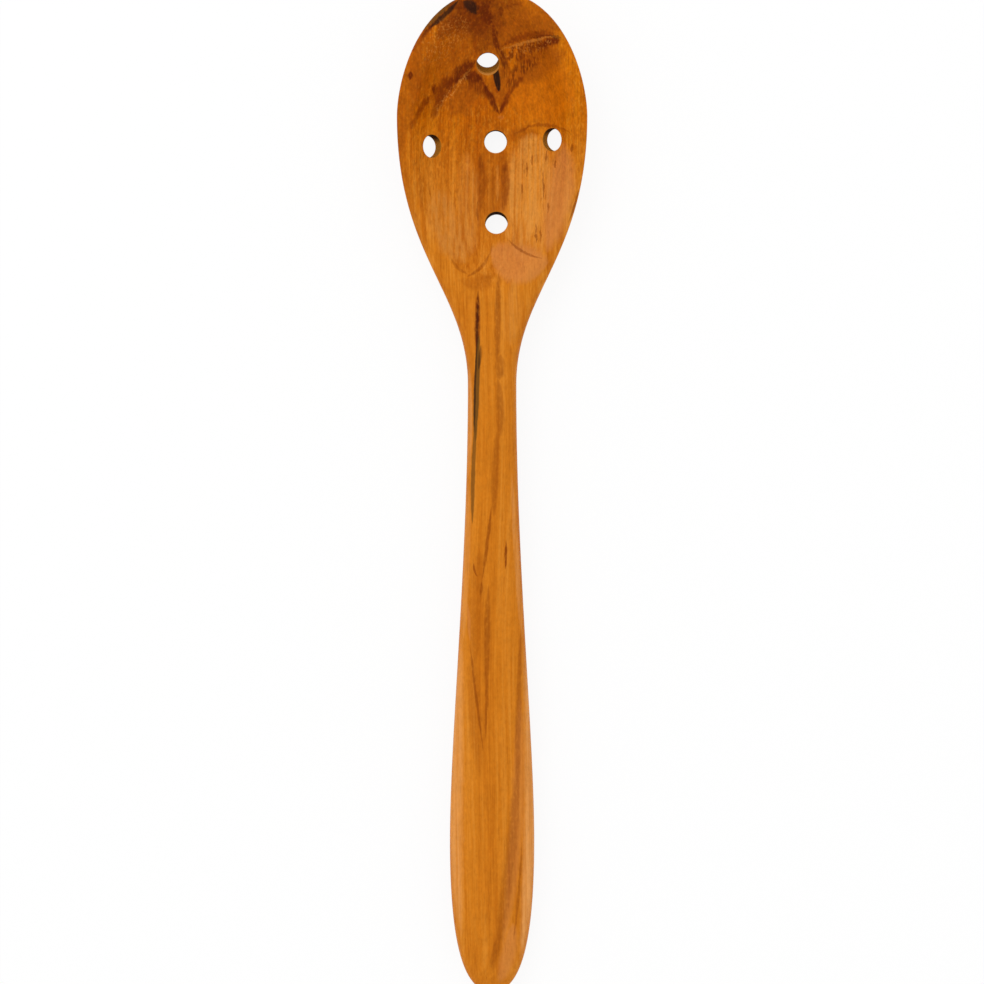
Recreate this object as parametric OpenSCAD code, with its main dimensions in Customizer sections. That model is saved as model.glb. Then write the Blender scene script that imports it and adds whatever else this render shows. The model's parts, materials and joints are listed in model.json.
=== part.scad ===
// Olive spoon carved from one piece of hardwood, with a drained bowl that turns up a little at its tip.
// Lengths are in millimetres and angles in degrees.
// The spoon lies along Y, bowl at +Y, hollow facing +Z, and rests on z = 0 on its bowl and its grip.
// Places along the spoon are distances s from the tip of the bowl.

/* [Plan outline] */
// Overall length, tip of the bowl to end of the handle
spoon_l = 200; // [180:1:240]
// Widest breadth of the bowl
bowl_w = 38; // [34:0.5:46]
// Distance from the tip to the widest place of the bowl
bowl_at = 25; // [23:0.5:30]
// Narrowest breadth of the neck
neck_w = 9.7; // [7:0.1:14]
// Distance from the tip to the narrowest place of the neck
neck_at = 78.5; // [74:0.5:90]
// Widest breadth of the grip
grip_w = 16.9; // [12:0.1:22]
// Distance from the widest place of the grip to the end of the handle
grip_to_end = 30.3; // [24:0.1:40]

/* [Outline fullness] */
// How far the outline runs straight across at the tip
tip_reach = 14.5; // [12:0.1:16]
// How far the outline runs straight along, ahead of the bowl's widest place
bowl_lead = 7.3; // [5:0.1:12]
// How far the outline runs straight along, behind the bowl's widest place
bowl_trail = 28.2; // [24:0.1:30]
// How far the outline runs straight along, ahead of the neck
neck_lead = 18.8; // [14:0.1:22]
// How far the outline runs straight along, behind the neck
neck_trail = 36; // [20:0.5:42]
// How far the outline runs straight along, ahead of the grip's widest place
grip_lead = 21; // [12:0.5:36]
// How far the outline runs straight along, behind the grip's widest place
grip_trail = 20.2; // [14:0.1:24]
// How far the outline runs straight across at the end of the handle
end_reach = 5.9; // [4:0.1:7]

/* [Side profile] */
// Lift of the bowl's rim towards the tip
bowl_tilt = 4; // [1:0.5:8]
// Height from the outermost line of the rim up to its crest
rim_rise = 1.7; // [1.2:0.1:2.4]
// Length over which the crest rounds off at the tip
rim_round = 3.5; // [2:0.1:5]
// Height of the neck's underside over the table
neck_under = 2.6; // [1.5:0.1:4]
// Thickness of the neck
neck_t = 8.2; // [6:0.1:10]
// Thickness of the grip
grip_t = 9.8; // [7:0.1:12]
// Length over which the thickness rounds off at the end of the handle
end_round = 20; // [8:0.5:30]
// Height of the point where the handle ends
end_h = 4.6; // [3.5:0.1:6]

/* [Hollow] */
// Depth of the hollow under the rim
hollow_depth = 9.5; // [7:0.1:12]
// Thickness of the floor under the middle of the hollow
floor_t = 3.4; // [2.5:0.1:6]
// Length of the hollow at the rim
hollow_l = 57; // [47:0.1:58]
// Breadth of the rim beside the hollow
rim_w = 2.3; // [2:0.1:4]
// Breadth of the rim at the tip
tip_rim = 1.6; // [1.2:0.1:3]
// Flatness of the hollow's floor: 2 is a plain dish, more is flatter with steeper sides
hollow_power = 3; // [2:0.1:3.4]
// Softness of the edge between hollow and rim
rim_soft = 3.2; // [0.5:0.1:3.3]

/* [Cross sections] */
// Section power of the upper side: 1 is an ellipse, less is flatter with rounder edges
crown_power = 0.8; // [0.6:0.05:1]
// Section power of the bowl's underside: 2 is a parabola, less is fuller
bowl_power = 1.6; // [1:0.05:1.7]
// Section power of the handle's underside
handle_power = 0.9; // [0.7:0.05:1.1]

/* [Drain holes] */
// Diameter of the holes
hole_d = 4.5; // [3:0.1:5.5]
// Distance of the front and rear holes from the middle of the hollow
hole_along = 15.9; // [12:0.1:18]
// Distance of the side holes from the middle of the hollow
hole_across = 12.1; // [9:0.1:12.5]
// Turn of the four outer holes round the middle of the hollow, seen from above
hole_twist = 3.1; // [-6:0.1:6]
// Lean of the front hole: the upper end of each outer hole leans inwards from upright
front_lean = 26; // [10:0.5:30]
// Lean of the rear hole
rear_lean = 9; // [5:0.5:25]
// Lean of the left hole
left_lean = 27; // [10:0.5:30]
// Lean of the right hole
right_lean = 20.5; // [10:0.5:30]
// Distance of the upright middle hole to the right of the middle of the hollow
middle_right = 0.7; // [-1.5:0.1:1.5]
// Distance of the upright middle hole from the middle of the hollow towards the tip
middle_ahead = 0.4; // [-1.5:0.1:1.5]

/* [Hidden] */

// Sections in each span of the outline, and points in each section
span_steps = [16, 26, 18, 14];
ring_points = 48;

grip_at = spoon_l - grip_to_end;
hollow_at = tip_rim + hollow_l / 2;
hollow_w = bowl_w - 2 * rim_w;
rim_h = floor_t + hollow_depth;
tip_h = rim_at(0) - rim_rise;

// Outline in four cubic spans, tip to bowl to neck to grip to end: places along, then half breadths
along_spans = [
  [0, 0, bowl_at - bowl_lead, bowl_at],
  [bowl_at, bowl_at + bowl_trail, neck_at - neck_lead, neck_at],
  [neck_at, neck_at + neck_trail, grip_at - grip_lead, grip_at],
  [grip_at, grip_at + grip_trail, spoon_l, spoon_l]
];
breadth_spans = [
  [0, tip_reach, bowl_w / 2, bowl_w / 2],
  [bowl_w / 2, bowl_w / 2, neck_w / 2, neck_w / 2],
  [neck_w / 2, neck_w / 2, grip_w / 2, grip_w / 2],
  [grip_w / 2, grip_w / 2, end_reach, 0]
];

// Outer drain holes: distance from the middle of the hollow, direction, lean
outer_holes = [
  [hole_across, hole_twist, right_lean],
  [hole_along, 90 + hole_twist, front_lean],
  [hole_across, 180 + hole_twist, left_lean],
  [hole_along, 270 + hole_twist, rear_lean]
];

// Value of a cubic span at t from 0 to 1
function cubic(c, t) =
  pow(1 - t, 3) * c[0] + 3 * pow(1 - t, 2) * t * c[1] + 3 * (1 - t) * t * t * c[2] + pow(t, 3) * c[3];

// Smooth rise from 0 to 1 between two places
function ease(start, finish, s) =
  let (u = min(max((s - start) / (finish - start), 0), 1))
  u * u * (3 - 2 * u);

// Quarter of an ellipse that rises from 0 to 1 over a length
function round_off(length, s) = sqrt(1 - pow(max(1 - s / length, 0), 2));

// Smaller of two heights, with a soft change from one to the other
function soft_min(a, b) = min(a, b) - pow(max(rim_soft - abs(a - b), 0) / rim_soft, 3) * rim_soft / 6;

// Height of the tilted plane of the rim
function rim_at(s) = rim_h + (hollow_at - s) * tan(bowl_tilt);

// Height of the outermost line of the section: along the rim, then down the middle of the handle
function mid_at(s) =
  let (
    rim = rim_at(s) - rim_rise,
    neck = neck_under + neck_t / 2
  )
  rim + (neck - rim) * ease(bowl_at, neck_at, s)
  + (grip_t / 2 - neck) * ease(neck_at, grip_at, s)
  + (end_h - grip_t / 2) * ease(grip_at, spoon_l, s);

// Rise of the upper side over that line
function crown_at(s) =
  (rim_rise * round_off(rim_round, s)
  + (neck_t / 2 - rim_rise) * ease(bowl_at, neck_at, s)
  + (grip_t - neck_t) / 2 * ease(neck_at, grip_at, s)) * round_off(end_round, spoon_l - s);

// Height of the underside: from the tip down to the belly, over the arch of the neck, down to the grip
function under_at(s) =
  tip_h * (1 - round_off(hollow_at, s))
  + neck_under * (ease(hollow_at, neck_at, s) - ease(neck_at, grip_at, s))
  + end_h * (1 - round_off(end_round, spoon_l - s));

// Height of the hollow's surface, x across and s along
function hollow_z(x, s) =
  rim_at(s) - hollow_depth * (1 - pow(norm([2 * x / hollow_w, 2 * (s - hollow_at) / hollow_l]), hollow_power));

// Point of the section at s, at angle a round it from the +X edge over the top
function skin_point(s, half_w, a) =
  let (
    x = half_w * cos(a),
    lift = abs(sin(a)),
    mid = mid_at(s),
    power = bowl_power + (handle_power - bowl_power) * ease(bowl_at, neck_at, s),
    crown = mid + crown_at(s) * pow(lift, crown_power),
    belly = mid - (mid - under_at(s)) * pow(lift, power)
  )
  [x, spoon_l / 2 - s, a > 0 && a < 180 ? soft_min(crown, hollow_z(x, s)) : belly];

// The carved body before drilling: rings of points, closed by one point at each end
module body() {
  rings = [
    for (span = [0:3])
      for (i = [1:span_steps[span]])
        let (t = i / span_steps[span])
        if (span < 3 || t < 1)
          [
            for (j = [0:ring_points - 1])
              skin_point(cubic(along_spans[span], t), cubic(breadth_spans[span], t), 360 * j / ring_points)
          ]
  ];
  tip = len(rings) * ring_points;
  last = tip - ring_points;
  points = concat([for (ring = rings) each ring], [[0, spoon_l / 2, tip_h], [0, -spoon_l / 2, end_h]]);
  // Two triangles to a patch, their diagonals mirrored across the middle of the spoon
  faces = [
    for (j = [0:ring_points - 1])
      let (
        next = (j + 1) % ring_points,
        right = abs(j + 0.5 - ring_points / 2) > ring_points / 4
      )
      each [
        [tip, next, j],
        for (i = [0:ring_points:last - 1])
          let (
            a = i + j,
            b = i + next,
            c = b + ring_points,
            d = a + ring_points
          )
          each right ? [[a, b, c], [a, c, d]] : [[a, b, d], [b, c, d]],
        [tip + 1, last + j, last + next]
      ]
  ];
  polyhedron(points, faces, convexity = 6);
}

// One straight hole through the floor of the hollow, its upper end leaning back from its direction
module drain_hole(x, ahead, turn, lean) {
  s = hollow_at - ahead;
  translate([x, spoon_l / 2 - s, hollow_z(x, s)])
    rotate([0, -lean, turn])
      cylinder(h = 2 * hollow_depth, d = hole_d, center = true, $fn = 48);
}

module spoon() {
  color("#c07a2c")
    difference() {
      body();
      drain_hole(middle_right, middle_ahead, 0, 0);
      for (hole = outer_holes)
        drain_hole(hole[0] * cos(hole[1]), hole[0] * sin(hole[1]), hole[1], hole[2]);
    }
}

spoon();
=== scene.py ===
# %% [markdown]
# # A wooden olive spoon
# The real spoon is one piece of teak: a dished bowl with five drain holes, a slim neck, and a handle that
# widens to a round end. Nothing is joined to it, so the whole lesson makes one piece and one finish.
# The shape follows a rule, so Geometry Nodes carve it. The wood's figure is drawn by shader nodes.

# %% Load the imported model
import json
import math
import bpy
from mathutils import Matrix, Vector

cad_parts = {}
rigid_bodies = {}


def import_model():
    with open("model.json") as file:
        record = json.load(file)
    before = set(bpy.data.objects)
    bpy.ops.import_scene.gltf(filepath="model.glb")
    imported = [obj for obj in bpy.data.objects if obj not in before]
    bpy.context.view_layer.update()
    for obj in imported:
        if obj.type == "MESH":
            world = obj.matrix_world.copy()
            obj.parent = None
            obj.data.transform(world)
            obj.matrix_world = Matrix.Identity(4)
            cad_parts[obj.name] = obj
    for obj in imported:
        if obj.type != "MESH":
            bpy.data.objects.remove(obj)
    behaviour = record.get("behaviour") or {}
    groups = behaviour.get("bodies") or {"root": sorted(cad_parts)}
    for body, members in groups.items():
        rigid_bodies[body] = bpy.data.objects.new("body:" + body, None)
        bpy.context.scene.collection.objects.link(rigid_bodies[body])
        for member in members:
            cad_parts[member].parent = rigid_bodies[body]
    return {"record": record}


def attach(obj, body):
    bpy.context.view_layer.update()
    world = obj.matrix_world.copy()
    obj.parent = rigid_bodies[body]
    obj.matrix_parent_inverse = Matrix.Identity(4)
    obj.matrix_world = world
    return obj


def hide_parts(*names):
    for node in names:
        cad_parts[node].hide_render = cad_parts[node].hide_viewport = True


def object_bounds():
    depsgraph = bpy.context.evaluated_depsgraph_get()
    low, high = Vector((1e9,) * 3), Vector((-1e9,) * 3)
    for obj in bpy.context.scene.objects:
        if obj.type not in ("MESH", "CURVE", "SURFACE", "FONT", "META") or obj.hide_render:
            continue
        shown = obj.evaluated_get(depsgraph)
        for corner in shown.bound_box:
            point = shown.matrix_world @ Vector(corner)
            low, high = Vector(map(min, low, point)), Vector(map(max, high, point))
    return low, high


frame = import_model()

cad_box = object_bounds()
MM = 0.001
print("CAD box in mm:", [[round(v / MM, 2) for v in corner] for corner in cad_box])

# %% [markdown]
# ## Sums on sockets
# Both the shape and the wood are made of many small sums. Placing Math nodes by hand hides the formula, so
# a small class wraps a socket and turns Python's operators into Math nodes. Any other node comes from one
# method: its settings are set first, because they decide which sockets the node shows.

# %% A class for node trees
class Graph:
    """A node tree, and one method that adds any node to it."""

    def __init__(self, tree):
        self.tree = tree

    @staticmethod
    def pick(sockets, key):
        """The socket of that number or name, among those that the node shows."""
        shown = [socket for socket in sockets if socket.enabled]
        if isinstance(key, int):
            return shown[key]
        return next(socket for socket in shown if socket.name == key)

    def add(self, kind, settings=None, inputs=None, output=0):
        """Adds a node of this kind and gives back one of its outputs as a wire."""
        node = self.tree.nodes.new(kind)
        for name, value in (settings or {}).items():
            if name == "stops":
                self.set_stops(node.color_ramp, value)
            else:
                setattr(node, name, value)
        for key, value in (inputs or {}).items():
            socket = self.pick(node.inputs, key)
            if isinstance(value, Wire):
                self.tree.links.new(value.socket, socket)
            else:
                socket.default_value = value
        return Wire(self, self.pick(node.outputs, output)) if node.outputs else node

    @staticmethod
    def set_stops(ramp, stops):
        """Gives a colour ramp its stops: pairs of a place and a colour."""
        while len(ramp.elements) < len(stops):
            ramp.elements.new(1.0)
        for element, (place, color) in zip(ramp.elements, stops):
            element.position = place
            element.color = (*color, 1.0)

    def math(self, operation, *values):
        return self.add("ShaderNodeMath", {"operation": operation}, dict(enumerate(values)))

    def vector(self, x=0.0, y=0.0, z=0.0):
        return self.add("ShaderNodeCombineXYZ", inputs={"X": x, "Y": y, "Z": z})

    def ease(self, value, start, finish, low=0.0, high=1.0):
        """A smooth change from low to high while the value goes from start to finish."""
        return self.add(
            "ShaderNodeMapRange",
            {"interpolation_type": "SMOOTHSTEP"},
            {"Value": value, "From Min": start, "From Max": finish, "To Min": low, "To Max": high},
        )


print("Graph: add(), math(), vector() and ease() put nodes into a tree")


# %% A class for sockets
class Wire:
    """A socket in a graph. Arithmetic on it adds Math nodes."""

    def __init__(self, graph, socket):
        self.graph = graph
        self.socket = socket

    def out(self, key):
        """Another output of the same node."""
        return Wire(self.graph, self.graph.pick(self.socket.node.outputs, key))

    def math(self, operation, *others):
        return self.graph.math(operation, self, *others)

    def __add__(self, other):
        return self.math("ADD", other)

    def __sub__(self, other):
        return self.math("SUBTRACT", other)

    def __rsub__(self, other):
        return self.graph.math("SUBTRACT", other, self)

    def __mul__(self, other):
        return self.math("MULTIPLY", other)

    def __truediv__(self, other):
        return self.math("DIVIDE", other)

    def __pow__(self, other):
        return self.math("POWER", other)

    def __lt__(self, other):
        return self.math("LESS_THAN", other)

    def __abs__(self):
        return self.math("ABSOLUTE")

    __radd__ = __add__
    __rmul__ = __mul__


print("Wire: + - * / ** < abs() add Math nodes")

# %% [markdown]
# ## The outline
# Seen from above, each side of the spoon is one flowing line from the tip of the bowl to the end of the
# handle. A cutting template for it would have four curves that meet at the widest place of the bowl, the
# narrowest of the neck and the widest of the grip. A Bezier curve with five points says the same. Its X is
# half the breadth and its Y the distance from the tip, in millimetres.

# %% The outline as a Bezier curve
low, high = cad_box
spoon_length = (high.y - low.y) / MM
bowl_width = (high.x - low.x) / MM
bowl_at = 25.0
neck_width = 9.7
neck_at = 78.5
grip_width = 16.9
grip_to_end = 30.3
grip_at = spoon_length - grip_to_end

# How far the curve's handles reach before and after each point
tip_reach = 14.5
bowl_lead = 7.3
bowl_trail = 28.2
neck_lead = 18.8
neck_trail = 36.0
grip_lead = 21.0
grip_trail = 20.2
end_reach = 5.9


def side_point(width, at, lead, trail):
    """A point where the side runs along the spoon: its place, then its two handles."""
    half = width / 2
    return (half, at), (half, at - lead), (half, at + trail)


outline_points = [
    ((0.0, 0.0), (-tip_reach, 0.0), (tip_reach, 0.0)),
    side_point(bowl_width, bowl_at, bowl_lead, bowl_trail),
    side_point(neck_width, neck_at, neck_lead, neck_trail),
    side_point(grip_width, grip_at, grip_lead, grip_trail),
    ((0.0, spoon_length), (end_reach, spoon_length), (-end_reach, spoon_length)),
]


def make_outline(points):
    """A curve object through the points, with their handles."""
    curve = bpy.data.curves.new("outline", "CURVE")
    curve.dimensions = "3D"
    spline = curve.splines.new("BEZIER")
    spline.bezier_points.add(len(points) - 1)
    for knot, (place, before, after) in zip(spline.bezier_points, points):
        knot.handle_left_type = knot.handle_right_type = "FREE"
        knot.co = (*place, 0.0)
        knot.handle_left = (*before, 0.0)
        knot.handle_right = (*after, 0.0)
    outline = bpy.data.objects.new("outline", curve)
    bpy.context.collection.objects.link(outline)
    return outline


outline = make_outline(outline_points)
print("outline:", len(outline_points), "points over", round(spoon_length, 1), "mm")

# %% [markdown]
# ## The carved body
# A carver works from the outline and a side view, then rounds each section between them and digs the
# hollow. The tree below does the same. It lays out a grid, takes half the breadth of each row from the
# outline, and bends every row into a closed section whose upper side is the lower of two surfaces: the crown
# of the wood and the dish of the hollow. A soft minimum between the two leaves the rounded rim. A loft of a
# few hand-made sections would need many more numbers and would still wobble between them.

# %% Sizes of the body in millimetres
hollow_depth = 9.5
hollow_length = 57.0
bowl_tilt = 4.0
rim_width = 2.3
tip_rim = 1.6
floor_thickness = 3.4
body_sizes = {
    "Spoon length": spoon_length,
    "Bowl at": bowl_at,
    "Neck at": neck_at,
    "Grip at": grip_at,
    "Rim slope": math.tan(math.radians(bowl_tilt)),
    "Rim rise": 1.7,
    "Rim round": 3.5,
    "Neck under": 2.6,
    "Neck thickness": 8.2,
    "Grip thickness": 9.8,
    "End round": 20.0,
    "End height": 4.6,
    "Hollow at": tip_rim + hollow_length / 2,
    "Hollow length": hollow_length,
    "Hollow width": bowl_width - 2 * rim_width,
    "Hollow depth": hollow_depth,
    "Hollow power": 3.0,
    "Rim height": floor_thickness + hollow_depth,
    "Rim softness": 3.2,
    "Crown power": 0.8,
    "Bowl power": 1.6,
    "Handle power": 0.9,
}
sections_per_span = 80
section_points = 161
merge_gap = 0.001 * MM
print("body:", len(body_sizes), "sizes")


# %% Trees with named inputs
def new_tree(name, sizes, objects=()):
    """A Geometry Nodes tree with a named input for each size and object, as a graph and its inputs."""
    tree = bpy.data.node_groups.new(name, "GeometryNodeTree")
    tree.interface.new_socket("Geometry", in_out="INPUT", socket_type="NodeSocketGeometry")
    for title in objects:
        tree.interface.new_socket(title, in_out="INPUT", socket_type="NodeSocketObject")
    for title in sizes:
        tree.interface.new_socket(title, in_out="INPUT", socket_type="NodeSocketFloat")
    tree.interface.new_socket("Geometry", in_out="OUTPUT", socket_type="NodeSocketGeometry")
    graph = Graph(tree)
    first = graph.add("NodeGroupInput")
    return graph, {title: first.out(title) for title in ("Geometry", *objects, *sizes)}


def close_tree(graph, geometry, finish):
    """Ends a tree: smooth faces, instances made real, one material."""
    smooth = graph.add("GeometryNodeSetShadeSmooth", inputs={0: geometry})
    real = graph.add("GeometryNodeRealizeInstances", inputs={0: smooth})
    done = graph.add("GeometryNodeSetMaterial", inputs={"Geometry": real, "Material": finish})
    graph.add("NodeGroupOutput", inputs={0: done})


def put_modifier(piece, graph, values):
    """Gives a piece the tree as a modifier, with its inputs set by identifier."""
    modifier = piece.modifiers.new(graph.tree.name, "NODES")
    modifier.node_group = graph.tree
    for item in graph.tree.interface.items_tree:
        if item.in_out == "INPUT" and item.name in values:
            modifier[item.identifier] = values[item.name]


def vector_at(graph, geometry, index, field=None):
    """A vector field of a geometry, its position if none is given, at the point of that index."""
    if field is None:
        field = graph.add("GeometryNodeInputPosition")
    return graph.add(
        "GeometryNodeSampleIndex",
        {"data_type": "FLOAT_VECTOR", "domain": "POINT"},
        {"Geometry": geometry, "Value": field, "Index": index},
    )


teak = bpy.data.materials.new("teak")
teak.use_nodes = True
print("helpers for trees that end in the finish", teak.name)


# %% Rows along the outline
def lay_out_grid(graph, outline):
    """A grid with one row for each point of the outline, and where its points are on the spoon.

    They are given by half the breadth, the distance from the tip and the turn round the section.
    """
    line = graph.add("GeometryNodeObjectInfo", inputs={"Object": outline}, output="Geometry")
    fine = graph.add("GeometryNodeSetSplineResolution", inputs={0: line, "Resolution": sections_per_span})
    points = graph.add("GeometryNodeCurveToPoints", {"mode": "EVALUATED"}, {"Curve": fine})
    counts = graph.add("GeometryNodeAttributeDomainSize", {"component": "POINTCLOUD"}, {0: points})
    rows = counts.out("Point Count")
    grid = graph.add("GeometryNodeMeshGrid", inputs={"Vertices X": rows, "Vertices Y": section_points})
    index = graph.add("GeometryNodeInputIndex")
    row = (index / section_points).math("FLOOR")
    turn = (index - row * section_points) * (2 * math.pi / (section_points - 1))
    on_line = graph.add("ShaderNodeSeparateXYZ", inputs={0: vector_at(graph, points, row)})
    return grid, on_line.out("X"), on_line.out("Y"), turn


print("rows:", sections_per_span, "to a span of the outline, each of", section_points, "points")


# %% Heights along the spoon
def round_off(length, place):
    """A quarter of an ellipse that rises from 0 to 1 over a length."""
    short = (1 - place / length).math("MAXIMUM", 0.0)
    return (1 - short * short).math("SQRT")


def side_view(graph, size, s):
    """At a distance from the tip: the height of the rim and of the section's outermost line, how far the
    wood rises over that line, the height of its underside, and how far the bowl has become the neck.
    """
    into_neck = graph.ease(s, size["Bowl at"], size["Neck at"])
    into_grip = graph.ease(s, size["Neck at"], size["Grip at"])
    into_end = graph.ease(s, size["Grip at"], size["Spoon length"])
    end_cap = round_off(size["End round"], size["Spoon length"] - s)
    rim = size["Rim height"] + (size["Hollow at"] - s) * size["Rim slope"]
    rim_line = rim - size["Rim rise"]
    neck_line = size["Neck under"] + size["Neck thickness"] / 2
    grip_line = size["Grip thickness"] / 2
    middle = (
        rim_line
        + (neck_line - rim_line) * into_neck
        + (grip_line - neck_line) * into_grip
        + (size["End height"] - grip_line) * into_end
    )
    crown = (
        size["Rim rise"] * round_off(size["Rim round"], s)
        + (size["Neck thickness"] / 2 - size["Rim rise"]) * into_neck
        + (size["Grip thickness"] - size["Neck thickness"]) / 2 * into_grip
    ) * end_cap
    tip_height = size["Rim height"] + size["Hollow at"] * size["Rim slope"] - size["Rim rise"]
    under = (
        tip_height * (1 - round_off(size["Hollow at"], s))
        + size["Neck under"] * (graph.ease(s, size["Hollow at"], size["Neck at"]) - into_grip)
        + size["End height"] * (1 - end_cap)
    )
    return rim, middle, crown, under, into_neck


print("side view: bowl to", neck_at, "mm, grip at", round(grip_at, 1), "mm from the tip")


# %% The carving tree
def make_carving_tree():
    graph, size = new_tree("carve", body_sizes, ("Outline",))
    grid, half_breadth, s, turn = lay_out_grid(graph, size["Outline"])
    rim, middle, crown, under, into_neck = side_view(graph, size, s)

    # The section at each place, and the dish of the hollow. A side that is level counts as belly
    level_side = 1e-5
    x = half_breadth * turn.math("COSINE")
    side = turn.math("SINE")
    lift = abs(side)
    across = x * 2 / size["Hollow width"]
    along = (s - size["Hollow at"]) * 2 / size["Hollow length"]
    reach = (across * across + along * along).math("SQRT")
    dish = rim - size["Hollow depth"] * (1 - reach ** size["Hollow power"])
    top = (middle + crown * lift ** size["Crown power"]).math("SMOOTH_MIN", dish, size["Rim softness"])
    power = size["Bowl power"] + (size["Handle power"] - size["Bowl power"]) * into_neck
    belly = middle - (middle - under) * lift ** power
    is_belly = side < level_side
    z = top + (belly - top) * is_belly

    place = graph.vector(x * MM, (size["Spoon length"] / 2 - s) * MM, z * MM)
    bent = graph.add("GeometryNodeSetPosition", inputs={"Geometry": grid, "Position": place})
    closed = graph.add("GeometryNodeMergeByDistance", inputs={"Geometry": bent, "Distance": merge_gap})
    outward = graph.add("GeometryNodeFlipFaces", inputs={0: closed})
    close_tree(graph, outward, teak)
    return graph


carving = make_carving_tree()
spoon = bpy.data.objects.new("olive_spoon", bpy.data.meshes.new("olive_spoon"))
bpy.context.collection.objects.link(spoon)
put_modifier(spoon, carving, {**body_sizes, "Outline": outline})
print("carving tree:", len(carving.tree.nodes), "nodes")

# %% [markdown]
# ## The drain holes
# Five holes let the brine run off. On the real spoon each is drilled at its own lean, then the sharp edge is
# sanded away. A bevel modifier can't follow such an edge on a dense mesh, so the drill bit itself carries the
# rounding: rays find the wood above and below each point of the bit, and the bit flares where it comes out.
# One bit is instanced on five places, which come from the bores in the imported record.

# %% Places and profile of the drill
bores = [mount for mount in frame["record"]["mounts"] if mount["kind"] == "bore"]
hole_radius = bores[0]["dims"]["r_mm"]
lip_round = 0.15
drill_sizes = {"Hole radius": hole_radius, "Lip": lip_round}


def make_points(name, places, axes=None):
    """A mesh of loose points, with a direction for each if given."""
    mesh = bpy.data.meshes.new(name)
    mesh.from_pydata(places, [], [])
    if axes:
        attribute = mesh.attributes.new("axis", "FLOAT_VECTOR", "POINT")
        for item, axis in zip(attribute.data, axes):
            item.vector = axis
    holder = bpy.data.objects.new(name, mesh)
    bpy.context.collection.objects.link(holder)
    return holder


hole_places = make_points("hole_places", [m["pos_m"] for m in bores], [m["axis"] for m in bores])

# From the wall out to the flare, in lips: X beyond the hole's radius, Z beyond the surface of the wood
lip_steps = 6
lip_turn = math.radians(75.0)
flare = 1.6
flare_clear = 0.2
bit_reach = 10.0
past_axis = -2 * hole_radius / lip_round
lip_arc = [lip_turn * step / lip_steps for step in range(lip_steps + 1)]
bit_profile = [(1 - math.cos(angle), 0.0, math.sin(angle) - 1) for angle in lip_arc]
bit_profile += [(flare, 0.0, flare_clear), (flare, 0.0, bit_reach), (past_axis, 0.0, bit_reach)]
bit_line = make_points("bit_profile", bit_profile)
bit_rows = 2 * len(bit_profile)
bit_columns = 65
ray_back = 20 * MM
print("drill:", len(bores), "places,", bit_rows, "rows of", bit_columns, "points on the bit")


# %% The drilling tree
def make_drilling_tree():
    graph, given = new_tree("drill", drill_sizes, ("Places", "Profile"))
    body = given["Geometry"]
    places = graph.add("GeometryNodeObjectInfo", inputs={"Object": given["Places"]}, output="Geometry")
    profile = graph.add("GeometryNodeObjectInfo", inputs={"Object": given["Profile"]}, output="Geometry")
    grid = graph.add("GeometryNodeMeshGrid", inputs={"Vertices X": bit_rows, "Vertices Y": bit_columns})
    copies = graph.add("GeometryNodeInstanceOnPoints", inputs={"Points": places, "Instance": grid})
    bits = graph.add("GeometryNodeRealizeInstances", inputs={0: copies})

    # Which hole, row and column each point of the bits belongs to
    index = graph.add("GeometryNodeInputIndex")
    hole = (index / (bit_rows * bit_columns)).math("FLOOR")
    row = ((index - hole * (bit_rows * bit_columns)) / bit_columns).math("FLOOR")
    column = index.math("MODULO", bit_columns)
    turn = column * (2 * math.pi / (bit_columns - 1))
    step = abs(row - (bit_rows - 1) / 2) - 0.5
    is_lower = row < bit_rows / 2
    on_profile = graph.add("ShaderNodeSeparateXYZ", inputs={0: vector_at(graph, profile, step)})
    radius = (given["Hole radius"] + on_profile.out("X") * given["Lip"]).math("MAXIMUM", 0.0) * MM
    outward = on_profile.out("Z") * given["Lip"] * MM

    centre = vector_at(graph, places, hole)
    axes = graph.add("GeometryNodeInputNamedAttribute", {"data_type": "FLOAT_VECTOR"}, {"Name": "axis"})
    axis = vector_at(graph, places, hole, axes)
    lean = graph.add("FunctionNodeAlignRotationToVector", {"axis": "Z"}, {"Vector": axis})
    ring = graph.vector(radius * turn.math("COSINE"), radius * turn.math("SINE"))
    ring = graph.add("FunctionNodeRotateVector", inputs={"Vector": ring, "Rotation": lean})

    def vector_math(operation, first, second):
        key = "Scale" if operation == "SCALE" else 1
        return graph.add("ShaderNodeVectorMath", {"operation": operation}, {0: first, key: second})

    # A ray from well outside the wood, towards it along the hole's axis, from above or from below
    way = 1 - is_lower * 2
    outside = vector_math("SCALE", axis, way)
    start = vector_math("ADD", vector_math("ADD", centre, ring), vector_math("SCALE", outside, ray_back))
    hit = graph.add(
        "GeometryNodeRaycast",
        inputs={
            "Target Geometry": body,
            "Source Position": start,
            "Ray Direction": vector_math("SCALE", outside, -1.0),
            "Ray Length": 2 * ray_back,
        },
        output="Hit Position",
    )
    place = vector_math("ADD", hit, vector_math("SCALE", outside, outward))
    bent = graph.add("GeometryNodeSetPosition", inputs={"Geometry": bits, "Position": place})
    closed = graph.add("GeometryNodeMergeByDistance", inputs={"Geometry": bent, "Distance": merge_gap})
    solid_bits = graph.add("GeometryNodeFlipFaces", inputs={0: closed})
    drilled = graph.add(
        "GeometryNodeMeshBoolean",
        {"operation": "DIFFERENCE", "solver": "EXACT"},
        {"Mesh 1": body, "Mesh 2": solid_bits},
    )
    close_tree(graph, drilled, teak)
    return graph


drilling = make_drilling_tree()
put_modifier(spoon, drilling, {**drill_sizes, "Places": hole_places, "Profile": bit_line})
print("drilling tree:", len(drilling.tree.nodes), "nodes")


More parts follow.
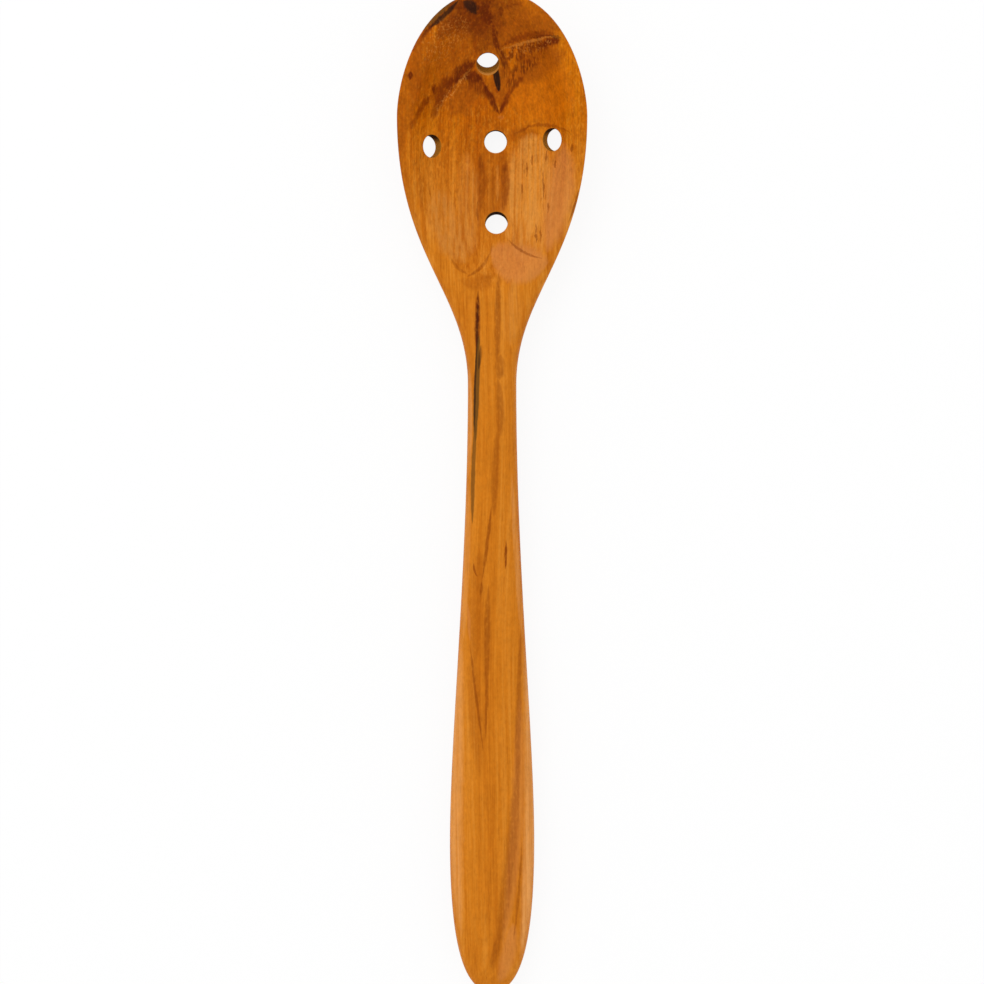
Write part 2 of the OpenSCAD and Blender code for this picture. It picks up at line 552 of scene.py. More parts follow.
# %% One plain mesh
def make_plain(piece):
    """Replaces a piece's modifiers by the mesh that they give."""
    evaluated = piece.evaluated_get(bpy.context.evaluated_depsgraph_get())
    mesh = bpy.data.meshes.new_from_object(evaluated)
    piece.modifiers.clear()
    piece.data = mesh
    mesh.name = piece.name


make_plain(spoon)
for helper in (outline, hole_places, bit_line):
    bpy.data.objects.remove(helper)
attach(spoon, "root")
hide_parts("spoon")
spoon.data.calc_loop_triangles()
print("olive_spoon:", len(spoon.data.vertices), "points,", len(spoon.data.loop_triangles), "triangles")

# %% [markdown]
# ## Teak: the ground
# Oiled teak is golden brown. Its fibres run along the spoon, its growth layers show as broad soft bands, and
# short dark pores follow the fibres. An image would stretch on the steep walls of the bowl, so the wood is a
# solid texture: noise in the spoon's own millimetres, drawn out along Y. A cut across the fibres, as on the
# walls of the hollow, then shows their ends as it does in real wood.

# %% Places in the wood
wood = Graph(teak.node_tree)
wood.tree.nodes.clear()
object_place = wood.add("ShaderNodeTexCoord", output="Object")
place = wood.add("ShaderNodeVectorMath", {"operation": "SCALE"}, {0: object_place, "Scale": 1 / MM})
sides = wood.add("ShaderNodeSeparateXYZ", inputs={0: place})
x, y, z = (sides.out(axis) for axis in "XYZ")


def noise(across, along, deep, detail=2.0, offset=0.0, output=0):
    """Noise from 0 to 1, with this many waves to the millimetre across, along and through the wood."""
    spot = wood.vector(fibre * across + offset, y * along, z * deep)
    inputs = {"Vector": spot, "Scale": 1.0, "Detail": detail}
    return wood.add("ShaderNodeTexNoise", inputs=inputs, output=output)


# The fibres are straight only for the noise that bends them: they wander to the side as they run
fibre = x
wander = 5.0
fibre = x + (noise(0.02, 0.014, 0.02, detail=1.0) - 0.5) * wander
print("wood: fibres run along Y and wander over", wander, "mm")


# %% Mixing colours
def opaque(color):
    """A colour with its alpha. A wire stays as it is."""
    return (*color, 1.0) if isinstance(color, tuple) else color


def blend(color, other, factor, kind="MIX"):
    """Two colours mixed by a factor."""
    inputs = {"Factor": factor, "A": opaque(color), "B": opaque(other)}
    return wood.add("ShaderNodeMix", {"data_type": "RGBA", "blend_type": kind}, inputs, "Result")


def vector_math(operation, *values):
    return wood.add("ShaderNodeVectorMath", {"operation": operation}, dict(enumerate(values)))


print("mixing: blend() and vector_math() for colours and vectors")

# %% Ground colour from bands, streaks and threads
dark_wood = (0.43, 0.108, 0.003)
middle_wood = (0.565, 0.172, 0.009)
light_wood = (0.675, 0.245, 0.026)
tip_amber_and_shade = (0.86, 0.70, 0.10)
pale_fleck_color = (0.66, 0.25, 0.022)
dark_fleck_color = (0.31, 0.07, 0.002)

band = noise(0.22, 0.004, 0.12, detail=1.0)
streak = noise(0.9, 0.016, 0.35, detail=3.0, offset=31.0)
thread = noise(3.2, 0.07, 1.2, detail=3.0, offset=57.0)
grain = band * 0.3 + streak * 0.35 + thread * 0.35
# The grain shows more in the bowl, where the cut crosses the fibres, than along the handle
bowlward = wood.ease(y, 25.0, 50.0)
grain = (grain - 0.5) * (0.55 + bowlward * 0.45) + 0.5
stops = [(0.38, dark_wood), (0.5, middle_wood), (0.62, light_wood)]
ground = wood.add("ShaderNodeValToRGB", {"stops": stops}, {"Fac": grain})
# Towards the tip the wood is a deeper amber, partly its own tone and partly painted shade, where the tip's
# side of the hollow faces away from the lamp and catches no sheen
tipward = wood.ease(y, 54.0, 78.0)
ground = blend(ground, tip_amber_and_shade, tipward, "MULTIPLY")
# Short pale and dark flecks, where fibres are cut
fleck_share = wood.ease(y, 48.0, 64.0)
pale_fleck = wood.ease(noise(2.2, 0.8, 1.8, detail=3.0, offset=19.0), 0.52, 0.66)
dark_fleck = wood.ease(noise(2.2, 0.6, 1.8, detail=3.0, offset=91.0), 0.52, 0.66)
ground = blend(ground, pale_fleck_color, pale_fleck * (0.1 + fleck_share * 0.2))
ground = blend(ground, dark_fleck_color, dark_fleck * (0.12 + fleck_share * 0.28))
print("ground:", len(stops), "shades of wood, two kinds of flecks")

# %% [markdown]
# ## Teak: the figure
# Each spoon is cut from its own bit of a log, and this one has dark veins, a knot and curved growth lines
# where the hollow cuts through the layers. Noise can't put them in their places, so they are drawn one by
# one, as a painter of false wood does. A mark is a bowed stroke with a start, an end and a width that swells
# in the middle. Its edge is crisp, soft, frayed or torn into flecks, and some feather out to one side.
# Some marks paint light instead of wood: sheen along the edges of the neck and handle, reflections in the
# hollow, and shade on the tip's side of the hollow.

# %% Tones and edges of the marks
# The tones lie over each other in this order
tones = {
    "amber": (0.52, 0.128, 0.002),
    "chestnut": (0.33, 0.074, 0.002),
    "straw": (0.67, 0.285, 0.055),
    # pale is painted sheen, used only along the edges of the neck, shank and handle
    "pale": (0.74, 0.32, 0.085),
    # rose also paints the reflections in the hollow
    "rose": (0.58, 0.207, 0.05),
    "flecked": (0.15, 0.026, 0.001),
    "rust": (0.21, 0.037, 0.001),
    "umber": (0.125, 0.017, 0.001),
    "olive": (0.15, 0.06, 0.008),
    "char": (0.022, 0.008, 0.004),
    "honey": (0.60, 0.215, 0.03),
    "specked": (0.66, 0.26, 0.045),
}
# How soft and how ragged an edge is, in half widths of its mark
edges = {"crisp": (0.5, 0.15), "soft": (1.0, 0.25), "frayed": (0.95, 0.6), "torn": (1.1, 1.0)}
marks = {tone: [] for tone in tones}
print("tones:", ", ".join(tones), "with edges:", ", ".join(edges))

# %% How a mark is drawn
# Lines in the bowl wander more than those along the handle
unrest = wood.ease(y, 36.0, 50.0, 0.25, 1.0)
slow_reach = (0.8, 0.8, 0.0)
quick_reach = (0.7, 0.7, 0.0)
mean_sway = tuple((a + b) / 2 for a, b in zip(slow_reach, quick_reach))
slow = vector_math("MULTIPLY", noise(0.25, 0.25, 0.25, detail=2.0, offset=71.0, output="Color"), slow_reach)
quick = vector_math("MULTIPLY", noise(1.5, 0.6, 1.0, detail=2.0, offset=43.0, output="Color"), quick_reach)
sway = vector_math("SUBTRACT", vector_math("ADD", slow, quick), mean_sway)
sway = wood.add("ShaderNodeVectorMath", {"operation": "SCALE"}, {0: sway, "Scale": unrest})
drawn = vector_math("ADD", place, sway)
flecks = noise(1.5, 0.55, 1.0, detail=3.0, offset=11.0) - 0.5
end_fullness = 0.4


def mark(name, tone, edge, start, end, bow, half_width, strength, lean=0.0, steady=False):
    """Draws a mark from start to end, in millimetres, as how strongly it covers each place of the wood.

    A bow pushes its middle to the left of its run, a lean feathers out its left side, or its right side
    if negative, and a steady mark doesn't wander.
    """
    softness, raggedness = (half_width * share for share in edges[edge])
    run_x, run_y = end[0] - start[0], end[1] - start[1]
    length = math.hypot(run_x, run_y)
    along_mark = (2 * run_x / length**2, 2 * run_y / length**2, 0.0)
    across_mark = (-run_y / length, run_x / length, 0.0)
    middle = ((start[0] + end[0]) / 2, (start[1] + end[1]) / 2, 0.0)
    from_middle = vector_math("SUBTRACT", place if steady else drawn, middle)
    u = vector_math("DOT_PRODUCT", from_middle, along_mark).out("Value")
    v = vector_math("DOT_PRODUCT", from_middle, across_mark).out("Value")
    swell = 1 - u * u
    aside = v - swell * bow
    aside = abs(aside) - aside * lean if lean else abs(aside)
    margin = softness / 2 + raggedness
    depth = swell.math("MAXIMUM", 0.0) ** end_fullness * (half_width + margin) - aside
    depth = flecks.math("MULTIPLY_ADD", 2 * raggedness, depth)
    cover = wood.ease(depth, raggedness, raggedness + softness, 0.0, strength)
    cover.socket.node.label = name
    marks[tone].append(cover)


def count_marks():
    print("marks so far:", sum(len(covers) for covers in marks.values()))


count_marks()

# %% Marks of the tip
mark("under the tip", "chestnut", "soft", (-11.2, 92.9), (14.7, 92.2), 1.3, 4.4, 0.9)
# These three marks are painted shade, where the tip's side of the hollow and its top edge face away from the
# lamp
mark("painted shade of the tip", "umber", "soft", (-10.0, 95.0), (3.0, 93.0), 0.6, 3.4, 0.52)
mark("painted shade over the front hole", "umber", "soft", (-3.4, 94.0), (-0.8, 86.4), 0.0, 2.0, 0.5)
mark("painted shade at the edge of the tip", "umber", "soft", (-6.5, 97.6), (6.5, 97.2), 0.6, 1.5, 0.5)
mark("specks under the left rim", "specked", "soft", (-14.0, 85.5), (-4.5, 94.5), 0.6, 2.8, 0.32)
mark("under the left rim", "rust", "frayed", (-11.6, 90.0), (-5.2, 95.0), 0.4, 1.7, 0.55)
mark("left of the dark smear", "rust", "soft", (-7.6, 96.5), (-1.8, 93.1), 0.0, 1.4, 0.65)
mark("beside the dark smear", "rust", "frayed", (-4.9, 96.6), (-0.2, 92.7), -0.6, 2.2, 0.7)
mark("outer left rim", "rust", "frayed", (-11.7, 93.3), (-15.9, 87.6), -0.4, 0.6, 0.65, steady=True)
mark("fleck right of the tip", "rust", "frayed", (2.7, 97.3), (3.6, 95.7), -0.1, 0.25, 0.5)
mark("thin line right of the tip", "rust", "frayed", (3.7, 97.3), (6.5, 96.8), 0.2, 0.1, 0.45)
mark("smear under the tip", "umber", "frayed", (-2.0, 98.5), (-0.4, 92.7), -0.1, 1.3, 0.92)
mark("upper left rim", "umber", "torn", (-7.4, 98.6), (-14.5, 90.0), -0.3, 0.7, 0.8, steady=True)
mark("top of the tip", "umber", "soft", (-10.2, 96.9), (1.2, 98.1), -0.2, 1.4, 0.85, steady=True)
mark("fleck of the tip", "umber", "torn", (1.8, 97.2), (1.8, 94.4), -0.2, 0.6, 0.7)
mark(
    "outer edge of the left rim", "olive", "frayed", (-6.8, 99.5), (-14.4, 91.6), 0.1, 0.5, 0.75, steady=True
)
mark("left rim", "char", "frayed", (-6.2, 98.5), (-12.8, 92.2), 0.2, 0.5, 0.9, steady=True)
mark("blotch under the tip", "char", "frayed", (-5.8, 98.1), (-2.8, 95.2), 0.2, 1.1, 0.88)
count_marks()

# %% Marks round the front hole
mark("right of the front hole", "amber", "soft", (3.2, 78.6), (17.1, 78.2), 2.4, 6.8, 0.75)
mark("inside the fork", "chestnut", "frayed", (1.4, 85.7), (1.5, 76.8), 0.5, 2.4, 0.8)
mark("between the left band and the fork", "chestnut", "soft", (-1.6, 84.0), (-8.6, 75.5), 0.0, 2.6, 0.8)
mark("under the flecked band", "chestnut", "soft", (15.0, 88.0), (2.6, 82.4), 0.3, 2.3, 0.8)
mark("under the fork", "rose", "soft", (0.9, 75.1), (2.4, 75.0), 0.0, 0.35, 0.2)
mark("flecks under the light line", "flecked", "crisp", (13.5, 90.4), (2.2, 87.1), -0.1, 1.7, 0.85)
mark("flecks beside the slit", "flecked", "soft", (9.6, 87.3), (2.8, 81.0), -0.6, 1.3, 0.85)
mark("flecks by the front hole", "flecked", "soft", (1.9, 86.5), (2.3, 82.8), 0.5, 0.8, 0.6)
mark("flecks behind the front hole", "flecked", "soft", (-6.4, 82.9), (-0.4, 79.0), 0.9, 1.6, 0.6)
mark("right arm of the fork, upper part", "rust", "torn", (6.8, 83.5), (3.3, 79.2), -0.3, 0.45, 0.85)
mark("band over the light line", "rust", "torn", (0.2, 88.3), (13.2, 91.4), 1.0, 0.55, 0.85, lean=0.35)
mark("under the flecks", "rust", "soft", (13.6, 90.2), (4.6, 86.2), -0.2, 1.9, 0.55)
mark("line under the flecked band", "rust", "torn", (7.3, 85.8), (10.4, 86.1), -0.2, 0.35, 0.45)
mark("faint line by the right rim", "rust", "torn", (12.1, 86.6), (14.5, 87.1), 0.0, 0.15, 0.45)
mark("under the patch by the front hole", "rust", "torn", (-5.2, 82.6), (-0.7, 79.5), 0.5, 1.5, 0.5)
mark("right arm of the fork, lower part", "rust", "torn", (3.6, 81.3), (1.5, 75.4), 0.1, 0.55, 0.95)
mark("end of the slit", "rust", "crisp", (1.1, 81.1), (1.1, 80.0), 0.0, 0.5, 0.7)
mark("line to the front hole", "umber", "frayed", (-0.1, 94.5), (1.4, 87.0), 0.0, 0.6, 0.88, steady=True)
mark("beside the front hole", "umber", "soft", (1.2, 89.2), (2.5, 84.6), 0.3, 0.75, 0.88)
mark("core over the light line", "umber", "torn", (7.0, 90.7), (12.7, 91.3), -0.1, 0.2, 0.7)
mark("right end of the flecked band", "umber", "torn", (13.9, 90.3), (9.0, 88.9), 0.0, 0.6, 0.9)
mark("patch by the front hole", "umber", "frayed", (-6.3, 82.8), (-1.5, 82.2), 0.8, 1.2, 0.92)
mark("left arm of the fork", "umber", "frayed", (-2.1, 82.5), (1.6, 75.4), 0.0, 0.6, 0.92)
mark("core of the right arm", "umber", "frayed", (2.7, 78.6), (1.6, 75.8), 0.0, 0.25, 0.8)
mark("right end of the light line", "char", "frayed", (11.4, 91.0), (13.9, 90.5), 0.0, 0.35, 0.5)
mark("slit behind the front hole", "char", "crisp", (0.4, 86.2), (1.4, 80.3), 0.0, 0.65, 0.97, steady=True)
mark("light line right of the front hole", "honey", "frayed", (1.2, 88.2), (13.0, 90.8), 0.5, 0.25, 0.42)
mark("specks under the light line", "specked", "soft", (2.2, 87.4), (12.8, 89.8), 0.3, 1.0, 0.34)
count_marks()

# %% Marks on the left of the bowl
mark("left rim by the neck", "amber", "soft", (-14.6, 59.4), (-13.3, 49.1), 0.0, 0.5, 0.5)
mark("left rim of the bowl", "chestnut", "soft", (-12.0, 92.1), (-18.4, 63.2), -2.2, 1.9, 0.75)
mark("left rim of the bowl, lower part", "chestnut", "soft", (-18.0, 73.3), (-13.2, 48.0), -1.6, 1.2, 0.45)
mark("edge of the hollow", "chestnut", "frayed", (-14.4, 66.4), (-12.5, 47.6), -0.6, 0.3, 0.4)
mark("upper left of the hollow", "chestnut", "frayed", (-2.8, 91.6), (-16.0, 75.9), -1.7, 4.8, 0.55)
mark("lower left of the hollow", "straw", "soft", (-10.8, 60.9), (-5.2, 45.6), -1.1, 3.0, 0.5)
mark("left band", "rust", "torn", (-6.1, 83.1), (-11.4, 76.4), -0.9, 1.3, 0.95, lean=-0.35)
mark("foot of the left band", "rust", "torn", (-9.4, 80.0), (-12.1, 74.0), -0.1, 0.6, 0.75, lean=-0.5)
mark("second left band", "rust", "torn", (-11.7, 80.0), (-15.3, 73.7), -0.3, 0.65, 0.9)
mark("foot of the second left band", "rust", "frayed", (-14.9, 74.8), (-16.2, 72.3), -0.2, 0.5, 0.6)
mark(
    "left band by the front hole", "umber", "frayed", (-3.0, 86.6), (-8.3, 81.6), 0.1, 1.1, 0.92, lean=-0.35
)
mark("core of the left band", "umber", "torn", (-8.1, 82.4), (-9.1, 80.4), 0.0, 0.55, 0.6)
mark("fleck of the left band", "umber", "frayed", (-11.3, 81.4), (-11.6, 79.7), -0.1, 0.3, 0.7)
mark("knot", "umber", "torn", (-16.2, 84.1), (-16.5, 82.1), 0.0, 0.5, 0.95)
mark("light edge of the left band", "honey", "torn", (-4.0, 85.1), (-8.3, 80.6), 0.1, 0.2, 0.3)
mark("foot of the light edge", "honey", "torn", (-8.3, 80.7), (-11.6, 74.6), -0.2, 0.15, 0.22)
mark("specks along the left band", "specked", "soft", (-3.8, 84.6), (-11.8, 75.6), -0.2, 0.6, 0.45)
count_marks()

# %% Marks in the middle and on the right of the bowl
mark("middle of the hollow", "chestnut", "crisp", (0.2, 70.6), (0.2, 54.2), 0.0, 3.4, 0.5)
mark("right of the middle hole", "chestnut", "soft", (2.4, 71.0), (9.4, 71.8), 0.5, 1.3, 0.6)
# Partly lighter wood and partly painted sheen, where this side of the hollow would reflect the bright
# surroundings
mark("striped right of the hollow with painted sheen", "straw", "crisp", (8.0, 72.2), (6.4, 46.0), 0.4, 5.2, 0.6)
mark("left of the middle", "straw", "soft", (-5.2, 69.0), (-4.2, 47.0), 0.0, 1.9, 0.4)
# Painted reflection: the right wall of the hollow is paled as if it caught the bright surroundings
mark("painted reflection on the right wall of the hollow", "rose", "soft", (14.4, 70.4), (10.8, 47.6), 0.9, 2.6, 0.6)
mark("right arc", "rust", "torn", (3.9, 71.4), (16.3, 71.1), 2.4, 0.4, 0.6)
mark("dark stripe left of the middle", "rust", "frayed", (-2.5, 67.8), (-2.4, 55.8), 0.4, 0.8, 0.45)
mark("thin stripe of the middle", "rust", "frayed", (0.2, 66.6), (0.2, 55.4), 0.0, 0.3, 0.35)
mark("dark stripe right of the middle", "rust", "frayed", (2.7, 67.0), (2.3, 55.8), 0.1, 0.75, 0.55)
mark("left of the rear hole", "rust", "torn", (-2.8, 59.6), (-3.1, 53.5), 0.0, 0.3, 0.55)
mark("right edge of the bowl", "umber", "frayed", (17.4, 61.2), (15.0, 53.2), 0.2, 0.2, 0.6, steady=True)
mark("core of the right stripe", "umber", "torn", (2.4, 66.1), (2.1, 63.8), 0.0, 0.5, 0.35)
mark("core of the left stripe", "umber", "torn", (-2.2, 68.5), (-2.2, 63.7), 0.0, 0.3, 0.3)
mark("light line in the middle", "honey", "soft", (1.1, 65.8), (0.9, 57.9), 0.0, 0.3, 0.45)
# Short dark stripes in the light wood: place across, start and end along the spoon
stripes = [
    (7.0, 66.3, 63.2),
    (8.0, 68.0, 65.2),
    (10.9, 68.8, 66.0),
    (10.3, 64.6, 58.5),
    (12.6, 66.5, 64.8),
    (16.0, 69.7, 67.6),
    (5.9, 62.1, 59.6),
    (9.6, 53.3, 49.5),
    (8.7, 54.0, 49.5),
    (11.1, 58.2, 55.8),
]
for across, start, end in stripes:
    mark("stripe", "rust", "frayed", (across, start), (across, end), 0.0, 0.2, 0.62)
count_marks()

# %% Marks where the bowl meets the neck
mark("left part of the neck end", "chestnut", "frayed", (-6.6, 42.6), (0.8, 44.0), -1.7, 1.6, 0.45)
mark("right part of the neck end", "straw", "soft", (4.6, 42.5), (3.6, 29.0), 0.0, 1.7, 0.3)
# Painted reflection of the lamp, on the slope at the neck end of the hollow that faces it
mark("painted reflection at the neck end of the hollow", "rose", "crisp", (-0.4, 48.5), (11.2, 45.8), -1.6, 3.8, 0.6)
mark("left line of the neck end", "rust", "soft", (-8.2, 46.8), (-4.8, 43.6), -0.5, 0.3, 0.35, steady=True)
mark(
    "middle line of the neck end", "rust", "soft", (-5.2, 43.0), (-0.4, 48.1), -0.8, 0.35, 0.5, steady=True
)
mark(
    "upper end of the middle line", "rust", "soft", (-0.5, 47.3), (-0.1, 50.1), -0.1, 0.2, 0.3, steady=True
)
mark("right line of the neck end", "rust", "torn", (2.6, 51.4), (10.8, 46.6), -1.0, 0.25, 0.55, steady=True)
count_marks()

# %% Marks of the neck and the shank
# The three pale edge marks are painted sheen, where the rounded sides would reflect the white surroundings
mark("painted sheen on the right edge of the shank", "pale", "soft", (3.9, 4.5), (6.0, -29.5), -0.1, 0.5, 0.45)
mark("left edge of the neck", "pale", "soft", (-4.6, 25.5), (-4.8, 2.5), 0.2, 0.5, 0.55)
mark("painted sheen on the left edge of the shank", "pale", "soft", (-4.7, 2.5), (-5.8, -30.5), 0.1, 0.65, 0.35)
mark("middle streak of the neck", "rust", "soft", (1.3, 44.4), (1.0, 24.8), 0.0, 0.6, 0.55)
mark("blotch of the neck", "rust", "frayed", (1.6, 27.8), (1.4, 22.2), 0.0, 0.9, 0.42)
mark("lower streak of the neck", "rust", "soft", (1.0, 23.2), (1.2, 9.9), 0.5, 0.75, 0.45)
mark("streak under the neck", "rust", "soft", (1.0, 12.9), (0.3, -5.1), 0.0, 0.7, 0.45)
mark("line of the shank", "rust", "frayed", (-0.1, -2.5), (-2.0, -17.7), 0.1, 0.35, 0.65)
mark("broad shade of the shank", "chestnut", "soft", (-2.6, -11.0), (-3.6, -36.0), 0.0, 1.4, 0.45)
mark("dash of the shank", "rust", "frayed", (2.8, -9.5), (2.6, -15.5), 0.0, 0.25, 0.9)
mark("small left line of the shank", "rust", "soft", (-3.7, -14.1), (-2.9, -16.9), -0.2, 0.2, 0.7)
mark("smear of the shank", "rust", "frayed", (-2.0, -17.7), (-2.3, -21.1), 0.0, 0.3, 0.55)
mark("upper neck vein", "umber", "soft", (-2.8, 40.6), (-2.9, 26.4), -0.1, 0.5, 0.95)
mark("body of the neck vein", "olive", "crisp", (-2.6, 31.6), (-3.4, 9.3), -0.1, 0.55, 0.95)
mark("tail of the neck vein", "olive", "crisp", (-3.3, 14.5), (-4.0, -6.5), -0.1, 0.4, 0.75)
mark("core of the upper neck vein", "char", "soft", (-2.8, 38.6), (-3.0, 27.2), -0.1, 0.25, 0.6)
mark("left edge of the neck vein", "char", "soft", (-2.8, 32.0), (-3.4, 11.3), -0.3, 0.2, 0.75)
mark("fork of the neck vein", "char", "soft", (-2.2, 29.6), (-2.8, 24.4), 0.1, 0.3, 0.6)
count_marks()

# %% Marks of the handle
mark("broad left shade of the handle", "chestnut", "soft", (-4.0, -31.5), (-2.4, -57.0), -0.1, 1.3, 0.42)
# Painted sheen along both edges of the handle, where its rounded sides would reflect the white surroundings
mark("painted sheen on the left edge of the handle", "pale", "soft", (-6.0, -28.7), (-6.2, -89.5), -1.2, 1.3, 0.65)
mark("painted sheen on the right edge of the handle", "pale", "soft", (6.6, -29.5), (5.6, -94.4), 1.8, 1.3, 0.9)
mark("right of the end", "rose", "soft", (4.2, -85.8), (1.4, -98.4), 0.5, 1.4, 0.5)
mark("under the right stripe", "rose", "soft", (5.4, -39.5), (1.8, -93.0), 1.3, 1.2, 0.35)
mark("left line of the shank", "rose", "soft", (-4.9, -21.9), (-4.4, -29.9), 0.0, 0.3, 0.4)
mark("broad streak of the shank", "rust", "soft", (-0.7, -18.3), (-1.1, -40.2), -0.1, 0.65, 0.55)
mark("middle line of the handle", "rust", "frayed", (-1.0, -32.5), (-1.4, -49.8), 0.1, 0.3, 0.55)
mark("left line of the handle", "rust", "frayed", (-4.6, -29.1), (-1.6, -52.4), -0.1, 0.25, 0.55)
mark("right stripe of the handle", "rust", "soft", (5.9, -25.9), (5.2, -68.6), -0.4, 0.55, 0.45)
mark("band towards the end", "rust", "soft", (5.1, -54.0), (0.0, -96.7), 0.8, 1.1, 0.42)
mark("thin line towards the end", "rust", "torn", (6.0, -68.4), (4.1, -90.9), 0.3, 0.25, 0.45)
mark("dashes towards the end", "rust", "frayed", (3.3, -71.0), (3.5, -79.4), 0.0, 0.2, 0.55)
mark("smear at the end", "rust", "torn", (1.1, -88.2), (-0.3, -95.5), 0.0, 0.45, 0.42)
count_marks()

# %% The marks over the ground
# They lie on the upper side of the spoon and fade out at its edges
normal = wood.add("ShaderNodeSeparateXYZ", inputs={0: wood.add("ShaderNodeNewGeometry", output="Normal")})
upper = wood.ease(normal.out("Z"), -0.1, 0.3)
stripe = wood.ease(noise(1.7, 0.03, 0.5, detail=2.0, offset=5.0), 0.38, 0.6)
dash = wood.ease(noise(2.2, 0.42, 1.2, detail=1.0, offset=27.0), 0.42, 0.55)
speck = wood.ease(noise(3.0, 2.0, 2.4, detail=1.0, offset=17.0), 0.54, 0.66)
mottle = wood.ease(noise(2.0, 0.9, 1.5, detail=3.0, offset=63.0), 0.3, 0.52, 0.6, 1.0)
broken = {
    "straw": stripe * 0.7 + 0.3,
    "pale": stripe * 0.5 + 0.5,
    "flecked": dash,
    "specked": speck,
    "chestnut": mottle,
    "rust": mottle,
    "umber": mottle,
}
figure = ground
for tone, covers in marks.items():
    covered = covers[0]
    for cover in covers[1:]:
        covered = covered.math("MAXIMUM", cover)
    if tone in broken:
        covered = covered * broken[tone]
    figure = blend(figure, tones[tone], covered * upper)
print("figure:", len(marks), "tones,", len(broken), "of them broken up")

# %% [markdown]
# ## Teak: pores, hole walls and oil
# Teak is an open-pored wood: fine dark lines show where its vessels are cut, and the colour clouds a little
# from place to place. The walls of the holes are a darker brown, painted black as shade where they face the
# handle, with a painted highlight along their upper edge. The spoon is only oiled, so it has a low sheen and
# no coat. Pores could be cut into the mesh, but a bump does as well at their size.

# %% Pores and clouds
pore_color = (0.22, 0.045, 0.002)
pore_cover = 0.22
pore = wood.ease(noise(4.6, 0.3, 1.6, detail=2.0, offset=83.0), 0.6, 0.72)
surface = blend(figure, pore_color, pore * pore_cover)
# Light and dark clouds, fine and coarse, stronger towards the tip
fine = noise(2.4, 1.5, 2.4, detail=2.0, offset=37.0) - 0.5
coarse = noise(0.9, 0.5, 0.9, detail=1.0, offset=49.0) - 0.5
cloud = 1 + fine * (0.25 + tipward * 0.5) + coarse * (0.2 + tipward * 0.35)
surface = blend(surface, cloud, 1.0, "MULTIPLY")
print("pores cover up to", pore_cover, "of the colour")

# %% Walls of the holes
# Wall colours: a near black painted as shade on walls that face the handle, a darker brown on the rest, and a
# light brown painted as a highlight along their upper edge
painted_shade_black = (0.004, 0.001, 0.001)
dark_wall_brown = (0.35, 0.135, 0.013)
painted_lip_highlight = (0.62, 0.25, 0.046)
wall_cover = 0.95
# In millimetres: the wall colour fades out just beyond the wall, and the upper edge gets a painted highlight
ring_from = hole_radius + 0.03
ring_to = hole_radius + 0.2
highlight_depth = 1.3
highlight_fade = 0.6

drilled = None
lip_highlight_band = None
for bore in bores:
    from_middle = vector_math("SUBTRACT", place, [v / MM for v in bore["pos_m"]])
    from_axis = vector_math("LENGTH", vector_math("CROSS_PRODUCT", from_middle, bore["axis"])).out("Value")
    height = vector_math("DOT_PRODUCT", from_middle, bore["axis"]).out("Value")
    top = bore["dims"]["length_mm"] / 2
    wall = 1 - wood.ease(from_axis, ring_from, ring_to)
    # The upper band of each wall, which gets the painted highlight
    edge = wall * wood.ease(height, top - highlight_depth, top - highlight_depth + highlight_fade)
    drilled = wall if drilled is None else drilled.math("MAXIMUM", wall)
    lip_highlight_band = edge if lip_highlight_band is None else lip_highlight_band.math("MAXIMUM", edge)
# The walls are painted black as shade where they face the handle, and brown elsewhere
facing_tip = wood.ease(normal.out("Y"), -0.9, -0.2)
shaded = blend(painted_shade_black, dark_wall_brown, facing_tip)
surface = blend(surface, shaded, drilled * wall_cover)
# The painted highlight, on the sides of the upper edge that face the lamp
surface = blend(surface, painted_lip_highlight, lip_highlight_band * wood.ease(normal.out("Y"), -0.3, 0.4))
print("burnt walls:", len(bores))

# %% Oil finish
oiled_roughness = 0.4
oiled_gloss = 0.035
relief_height = 0.05 * MM
relief_strength = 0.25
roughness = oiled_roughness + pore * 0.18 + (thread - 0.5) * 0.15 + drilled * 0.5
relief = thread * 0.5 - pore
bump = wood.add(
    "ShaderNodeBump",
    inputs={"Strength": relief_strength, "Distance": relief_height, "Height": relief},
)
shader = wood.add(
    "ShaderNodeBsdfPrincipled",
    inputs={
        "Base Color": surface,
        "Roughness": roughness,
        "Normal": bump,
        "Specular IOR Level": oiled_gloss,
    },
)
wood.add("ShaderNodeOutputMaterial", inputs={"Surface": shader})
print("teak:", len(wood.tree.nodes), "nodes")

# %% [markdown]
# ## Studio
# The photograph looks straight down on a white ground in soft, even light. The floor is white, a large soft
# lamp stands beyond the tip of the bowl, and a pale world fills the shadows.

# %% Floor
WHITE = (1.0, 1.0, 1.0, 1.0)
floor_half = 3.0
floor_drop = 0.2 * MM
floor_paint = (0.9, 0.9, 0.9, 1.0)
floor_glow = 0.9


def white_when_seen(graph):
    """1 for rays that see the ground straight on, in a reflection or through glass, 0 for the rest."""
    rays = graph.add("ShaderNodeLightPath", output="Is Camera Ray")
    return rays.math("MAXIMUM", rays.out("Is Glossy Ray")).math("MAXIMUM", rays.out("Is Transmission Ray"))


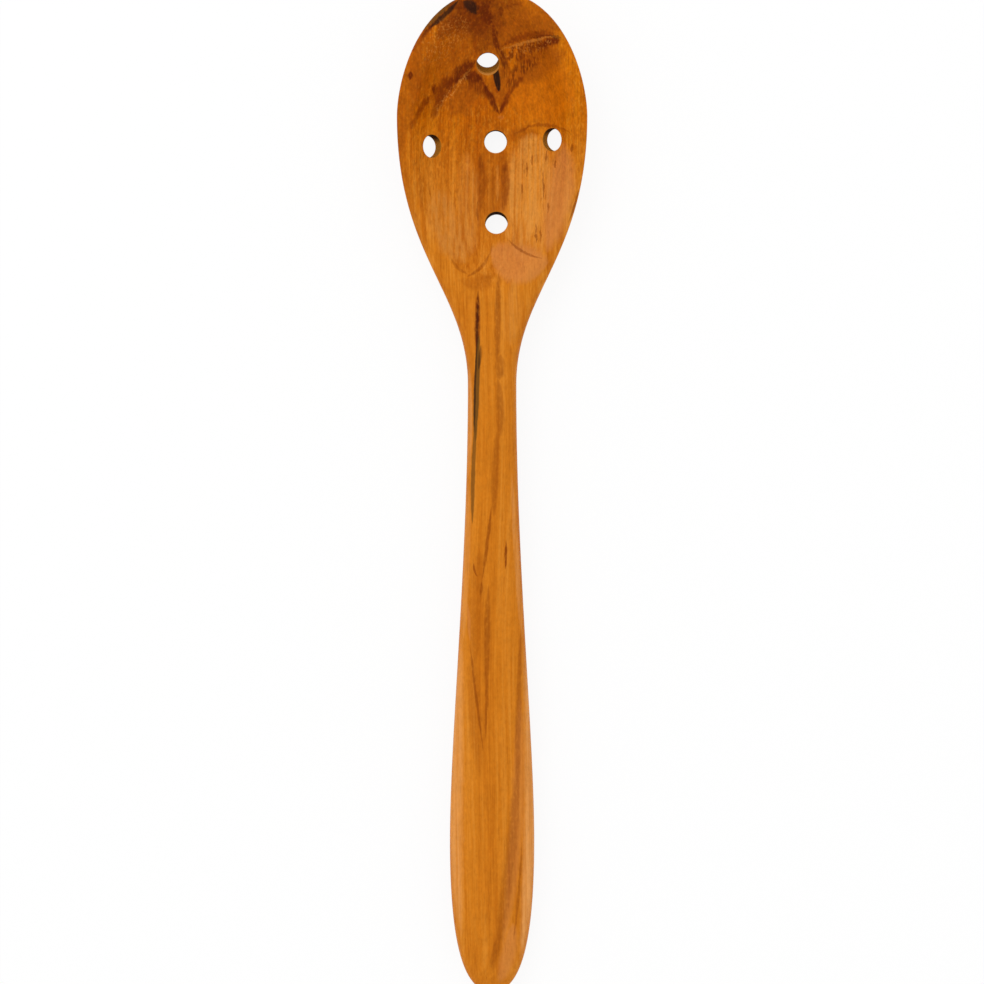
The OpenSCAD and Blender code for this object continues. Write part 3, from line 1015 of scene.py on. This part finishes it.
def make_floor_material():
    material = bpy.data.materials.new("white_floor")
    material.use_nodes = True
    graph = Graph(material.node_tree)
    graph.tree.nodes.clear()
    paint = graph.add("ShaderNodeBsdfDiffuse", inputs={"Color": floor_paint})
    glow = graph.add("ShaderNodeEmission", inputs={"Color": WHITE, "Strength": 1.0})
    share = white_when_seen(graph) * floor_glow
    mixed = graph.add("ShaderNodeMixShader", inputs={0: share, 1: paint, 2: glow})
    graph.add("ShaderNodeOutputMaterial", inputs={"Surface": mixed})
    return material


def make_floor(half):
    corners = [(-half, -half, 0), (half, -half, 0), (half, half, 0), (-half, half, 0)]
    mesh = bpy.data.meshes.new("floor")
    mesh.from_pydata(corners, [], [(0, 1, 2, 3)])
    mesh.materials.append(make_floor_material())
    floor = bpy.data.objects.new("floor", mesh)
    floor.location.z = -floor_drop
    bpy.context.collection.objects.link(floor)
    return floor


floor = make_floor(floor_half)
print("floor:", 2 * floor_half, "m square")

# %% Lamp and world
key_light = bpy.data.lights.new("key", "AREA")
key_light.shape = "DISK"
key_light.size = 0.8
key_light.energy = 4.0
key = bpy.data.objects.new("key", key_light)
bpy.context.collection.objects.link(key)
key.location = (-0.35, 0.6, 1.0)
key.rotation_euler = (-key.location).to_track_quat("-Z", "Y").to_euler()
key.visible_glossy = False

fill = 0.9
world = bpy.data.worlds.new("studio")
bpy.context.scene.world = world
world.use_nodes = True
sky = Graph(world.node_tree)
sky.tree.nodes.clear()
level = fill + white_when_seen(sky) * (1 - fill)
light = sky.add("ShaderNodeBackground", inputs={"Color": WHITE, "Strength": level})
sky.add("ShaderNodeOutputWorld", inputs={"Surface": light})
print("lamp", key_light.energy, "W, fill", fill)

# %% Camera
image_size = 984
mm_per_pixel = 0.19977
lens = 300.0
sensor = 36.0
focus_height = 9.0
camera_left = 0.02
camera_ahead = 0.09
camera_data = bpy.data.cameras.new("camera")
camera_data.lens = lens
camera_data.sensor_width = sensor
camera = bpy.data.objects.new("camera", camera_data)
bpy.context.collection.objects.link(camera)
reach = image_size * mm_per_pixel * lens / sensor
camera.location = (-camera_left * MM, camera_ahead * MM, (reach + focus_height) * MM)
bpy.context.scene.camera = camera
bpy.context.scene.view_settings.view_transform = "Standard"
print("camera", round(reach), "mm over the spoon")
